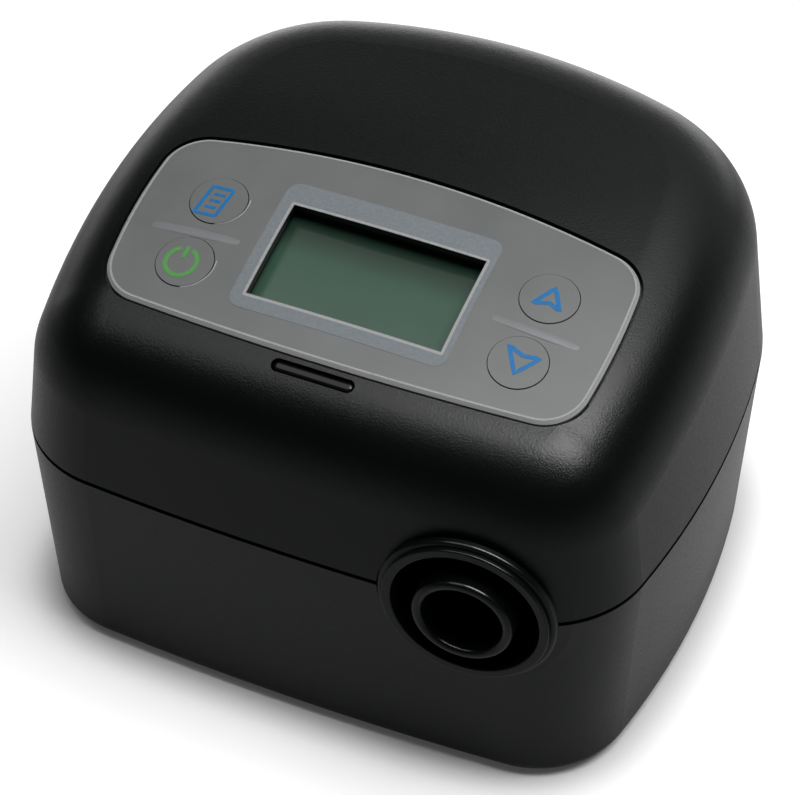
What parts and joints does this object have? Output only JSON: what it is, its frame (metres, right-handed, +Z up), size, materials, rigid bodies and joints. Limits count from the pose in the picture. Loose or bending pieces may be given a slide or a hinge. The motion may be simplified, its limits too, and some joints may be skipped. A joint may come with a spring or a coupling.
{
  "type": "cpap machine",
  "caption": "Compact tabletop CPAP machine with a crowned housing, a grey control panel with display and buttons, and a round hose outlet.",
  "frame": {"origin": "on the supporting surface, under the middle of the overall width and depth", "axes": "+Z up, +X to the right of a person facing the panel, +Y to the rear, away from that person"},
  "size_m": [0.1484, 0.1378, 0.1022],
  "materials": {
    "housing_black": "fine satin texture",
    "panel_grey": "satin overlay",
    "lens_smoke": "smoked and glossy",
    "collar_black": "satin",
    "display_glass": "clear",
    "backlight_white": "matte",
    "frame_black": "matte",
    "board_green": "solder mask",
    "steel": "plain",
    "brass": "nickel-free",
    "copper_winding": "lacquered",
    "ferrite": "matte",
    "aluminium": "plain",
    "case_grey": "moulded",
    "impeller_white": "moulded",
    "rubber_black": "matte",
    "foam_grey": "open cell",
    "socket_white": "moulded",
    "capacitor_black": "sleeve"
  },
  "bodies": {
    "housing": {"upper_housing": "housing_black", "lower_housing": "housing_black", "foot_front_left": "rubber_black", "foot_front_right": "rubber_black", "foot_rear_left": "rubber_black", "foot_rear_right": "rubber_black", "housing_screws": "steel", "control_panel": "panel_grey", "tact_switches": "steel", "lcd_glass": "display_glass", "lcd_backlight": "backlight_white", "lcd_frame": "frame_black", "display_board": "board_green", "display_screws": "steel", "indicator_lens": "lens_smoke", "outlet_collar": "collar_black", "outlet_tube": "collar_black", "outlet_boot": "rubber_black", "blower_case": "case_grey", "blower_cover": "case_grey", "motor_can": "steel", "motor_end_plate": "aluminium", "shaft_bearings": "brass", "motor_stator": "steel", "blower_mounts": "rubber_black", "muffler_foam": "foam_grey", "filter_grille": "case_grey", "power_inlet": "frame_black", "inlet_pins": "brass", "power_board": "board_green", "transformer_core": "ferrite", "transformer_winding": "copper_winding", "capacitors": "capacitor_black", "heat_sink": "aluminium", "display_ribbon": "backlight_white", "ribbon_socket": "socket_white", "display_socket": "socket_white"},
    "menu_key": {"menu_button": "panel_grey", "menu_switch_plunger": "frame_black"},
    "power_key": {"power_button": "panel_grey", "power_switch_plunger": "frame_black"},
    "up_key": {"up_button": "panel_grey", "up_switch_plunger": "frame_black"},
    "down_key": {"down_button": "panel_grey", "down_switch_plunger": "frame_black"},
    "rotor": {"motor_shaft": "steel", "rotor_magnet": "ferrite", "impeller": "impeller_white"},
    "filter_door": {"filter_cover": "housing_black", "filter_foam": "foam_grey"}
  },
  "joints": [
    {"name": "menu_press", "type": "slide", "parent": "housing", "child": "menu_key", "axis": [0, 0.1997, -0.9799], "range_m": [0, 0.0008], "stiffness_N_per_m": 1500},
    {"name": "power_press", "type": "slide", "parent": "housing", "child": "power_key", "axis": [0, 0.1997, -0.9799], "range_m": [0, 0.0008], "stiffness_N_per_m": 1500},
    {"name": "up_press", "type": "slide", "parent": "housing", "child": "up_key", "axis": [0, 0.1997, -0.9799], "range_m": [0, 0.0008], "stiffness_N_per_m": 1500},
    {"name": "down_press", "type": "slide", "parent": "housing", "child": "down_key", "axis": [0, 0.1997, -0.9799], "range_m": [0, 0.0008], "stiffness_N_per_m": 1500},
    {"name": "rotor_spin", "type": "hinge", "parent": "housing", "child": "rotor", "pos_m": [0.00429, 0.0113, 0.0528], "axis": [0, 0, 1], "continuous": true},
    {"name": "filter_pull", "type": "slide", "parent": "housing", "child": "filter_door", "axis": [0, 1, 0], "range_m": [0, 0.022]}
  ]
}
